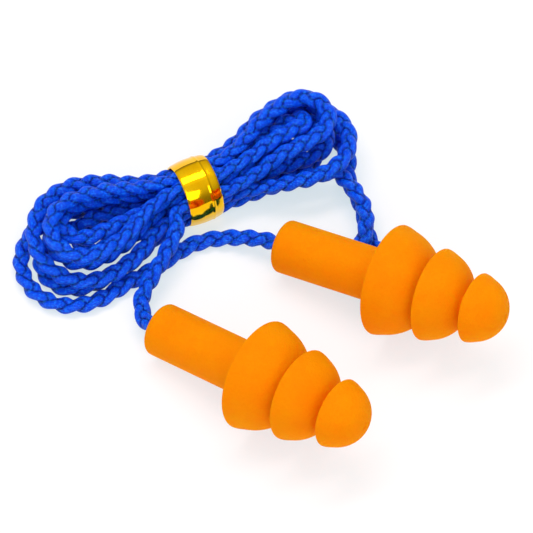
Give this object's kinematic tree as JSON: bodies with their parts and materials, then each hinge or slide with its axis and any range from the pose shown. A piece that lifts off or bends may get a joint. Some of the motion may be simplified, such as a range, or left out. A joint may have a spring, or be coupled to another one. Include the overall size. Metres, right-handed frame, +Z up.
{
  "type": "corded ear plugs",
  "caption": "Pair of soft flanged ear plugs joined by a braided cord, with the spare cord folded into a hank under a wired foil tie.",
  "frame": {"origin": "table surface, under the middle of the box round the two plugs", "axes": "+Z up from the table, +X to the right along the longer side of the two plugs, +Y away towards the hank"},
  "size_m": [0.0544, 0.0471, 0.0126],
  "materials": {
    "plug_silicone": "fine matte",
    "cord_polyester": "shiny braid",
    "cord_end_polyester": "braid",
    "cured_glue": "clear",
    "gold_foil": "mirror gold foil",
    "tie_wire_steel": "satin"
  },
  "bodies": {
    "cord": {"cord_hank": "cord_polyester", "left_lead": "cord_polyester", "right_lead": "cord_polyester"},
    "left_plug": {"left_plug": "plug_silicone", "left_cord_end": "cord_end_polyester", "left_glue": "cured_glue"},
    "right_plug": {"right_plug": "plug_silicone", "right_cord_end": "cord_end_polyester", "right_glue": "cured_glue"},
    "tie": {"tie_ribbon": "gold_foil", "tie_wire": "tie_wire_steel"}
  },
  "joints": [
    {"name": "left_plug_swing", "type": "hinge", "parent": "cord", "child": "left_plug", "pos_m": [-0.01827, 0.00222, 0.00292], "axis": [0, 0, 1], "range_deg": [-25, 8]},
    {"name": "right_plug_swing", "type": "hinge", "parent": "cord", "child": "right_plug", "pos_m": [-0.0047, 0.01273, 0.00292], "axis": [0, 0, 1], "range_deg": [-10, 2]},
    {"name": "tie_slide", "type": "slide", "parent": "cord", "child": "tie", "axis": [0.9063, 0.4226, 0], "range_m": [-0.0004, 0.0012]}
  ]
}
